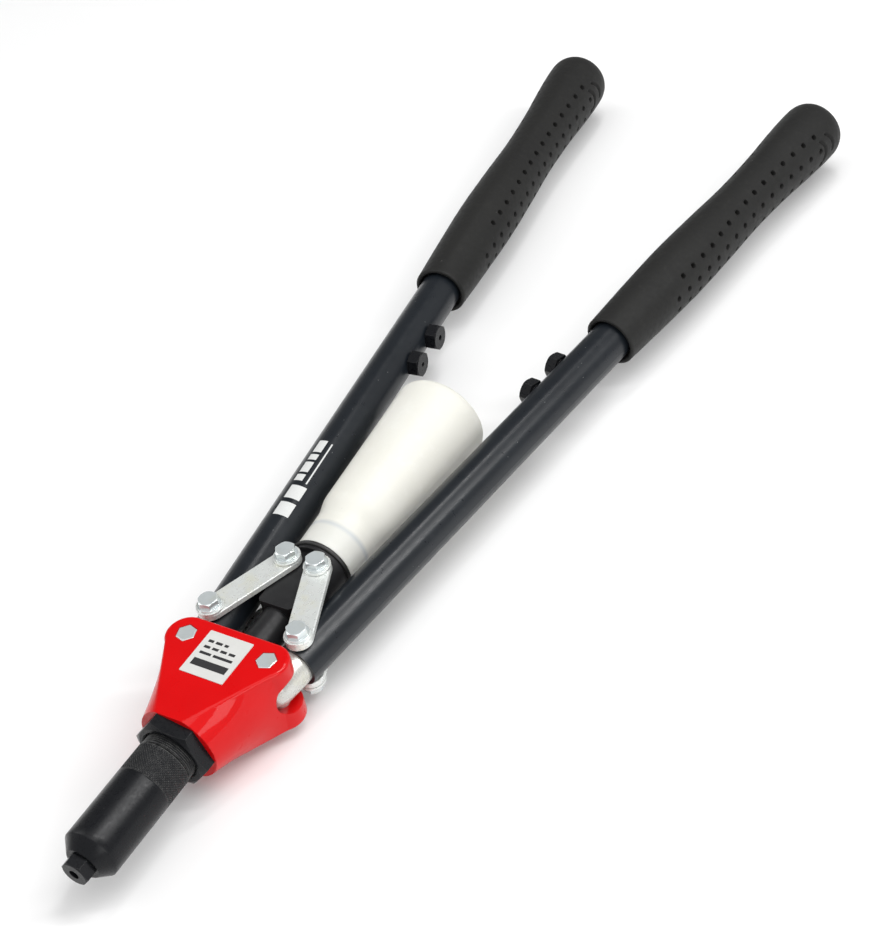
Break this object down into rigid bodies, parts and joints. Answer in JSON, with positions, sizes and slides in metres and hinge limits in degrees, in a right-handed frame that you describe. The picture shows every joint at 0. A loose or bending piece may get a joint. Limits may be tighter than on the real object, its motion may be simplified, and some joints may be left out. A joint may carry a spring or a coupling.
{
  "type": "hand riveter",
  "caption": "Long-arm lever hand riveter: red cast body with threaded nose, splayed tube levers with rubber grips, link-driven jaw carriage and mandrel bottle.",
  "frame": {"origin": "centre of the nosepiece's front face, on the pulling axis", "axes": "+Y back along the pulling axis to the bottle, +Z parallel to the lever pivot pins, +X right; levers closed"},
  "size_m": [0.1682, 0.537, 0.0438],
  "materials": {
    "red_paint": "glossy enamel over a cast body",
    "black_oxide": "black oxide over machined steel",
    "zinc_plate": "bright zinc plate",
    "bright_zinc_lever": "zinc plate, slightly milky",
    "powder_coat": "satin blue-black powder coat",
    "grip_rubber": "matt moulded rubber",
    "black_crosshead": "satin black",
    "tool_steel": "ground tool steel",
    "spring_steel": "spring wire",
    "bronze": "sintered bronze",
    "seal_rubber": "smooth rubber",
    "bottle_plastic": "translucent natural polyethylene",
    "label_film": "printed film"
  },
  "bodies": {
    "riveter_body": {"body_casting": "red_paint", "rating_label": "label_film", "guide_bush": "bronze", "pivot_pin_left": "zinc_plate", "pivot_pin_right": "zinc_plate", "pin_clips": "zinc_plate", "lock_nut": "black_oxide", "nose_housing": "black_oxide", "nosepiece": "black_oxide"},
    "right_arm": {"lever_end_right": "bright_zinc_lever", "handle_tube_right": "powder_coat", "grip_right": "grip_rubber", "spare_nosepiece_front_right": "black_oxide", "spare_nosepiece_rear_right": "black_oxide", "arm_bolt_right": "zinc_plate", "arm_washers_right": "zinc_plate", "arm_nut_right": "zinc_plate"},
    "right_links": {"top_link_right": "zinc_plate", "bottom_link_right": "zinc_plate", "crosshead_bolt_right": "zinc_plate", "crosshead_washers_right": "zinc_plate", "crosshead_nut_right": "zinc_plate"},
    "left_arm": {"lever_end_left": "bright_zinc_lever", "handle_tube_left": "powder_coat", "grip_left": "grip_rubber", "spare_nosepiece_front_left": "black_oxide", "spare_nosepiece_rear_left": "black_oxide", "arm_bolt_left": "zinc_plate", "arm_washers_left": "zinc_plate", "arm_nut_left": "zinc_plate"},
    "left_links": {"top_link_left": "zinc_plate", "bottom_link_left": "zinc_plate", "crosshead_bolt_left": "zinc_plate", "crosshead_washers_left": "zinc_plate", "crosshead_nut_left": "zinc_plate"},
    "carriage": {"crosshead": "black_crosshead", "pull_tube": "black_crosshead", "jaw_case": "tool_steel", "jaw_spring": "spring_steel", "neck_ring": "seal_rubber"},
    "jaw_push": {"jaw_pusher": "tool_steel"},
    "jaw_1_body": {"jaw_1": "tool_steel"},
    "jaw_2_body": {"jaw_2": "tool_steel"},
    "jaw_3_body": {"jaw_3": "tool_steel"},
    "bottle": {"mandrel_bottle": "bottle_plastic"}
  },
  "joints": [
    {"name": "right_arm_pivot", "type": "hinge", "parent": "riveter_body", "child": "right_arm", "pos_m": [0.02, 0.1076, 0], "axis": [0, 0, -1], "range_deg": [0, 50]},
    {"name": "left_arm_pivot", "type": "hinge", "parent": "riveter_body", "child": "left_arm", "pos_m": [-0.02, 0.1076, 0], "axis": [0, 0, 1], "range_deg": [0, 50]},
    {"name": "carriage_slide", "type": "slide", "parent": "riveter_body", "child": "carriage", "axis": [0, -1, 0], "range_m": [0, 0.01562]},
    {"name": "right_link_pivot", "type": "hinge", "parent": "right_arm", "child": "right_links", "pos_m": [0.02214, 0.12598, 0], "axis": [0, 0, 1], "range_deg": [0, 73.91]},
    {"name": "left_link_pivot", "type": "hinge", "parent": "left_arm", "child": "left_links", "pos_m": [-0.02214, 0.12598, 0], "axis": [0, 0, -1], "range_deg": [0, 73.91]},
    {"name": "jaw_release", "type": "slide", "parent": "carriage", "child": "jaw_push", "axis": [0, 1, 0], "range_m": [0, 0.0015], "stiffness_N_per_m": 900, "springref_m": -0.006, "deforming": ["jaw_spring"]},
    {"name": "jaw_1_slide", "type": "slide", "parent": "carriage", "child": "jaw_1_body", "axis": [0, 0.9877, 0.1564], "range_m": [0, 0.00152]},
    {"name": "jaw_2_slide", "type": "slide", "parent": "carriage", "child": "jaw_2_body", "axis": [-0.1355, 0.9877, -0.0782], "range_m": [0, 0.00152]},
    {"name": "jaw_3_slide", "type": "slide", "parent": "carriage", "child": "jaw_3_body", "axis": [0.1355, 0.9877, -0.0782], "range_m": [0, 0.00152]},
    {"name": "bottle_pull_off", "type": "slide", "parent": "carriage", "child": "bottle", "axis": [0, 1, 0], "range_m": [0, 0.04]}
  ],
  "couplings": [
    {"joint": "left_arm_pivot", "follows": "right_arm_pivot", "ratio": 1},
    {"joint": "carriage_slide", "follows": "right_arm_pivot", "m_per_rad": 0.017895},
    {"joint": "right_link_pivot", "follows": "right_arm_pivot", "ratio": 1.478},
    {"joint": "left_link_pivot", "follows": "right_arm_pivot", "ratio": 1.478},
    {"joint": "jaw_1_slide", "follows": "jaw_release", "ratio": 1.0125},
    {"joint": "jaw_2_slide", "follows": "jaw_release", "ratio": 1.0125},
    {"joint": "jaw_3_slide", "follows": "jaw_release", "ratio": 1.0125}
  ]
}
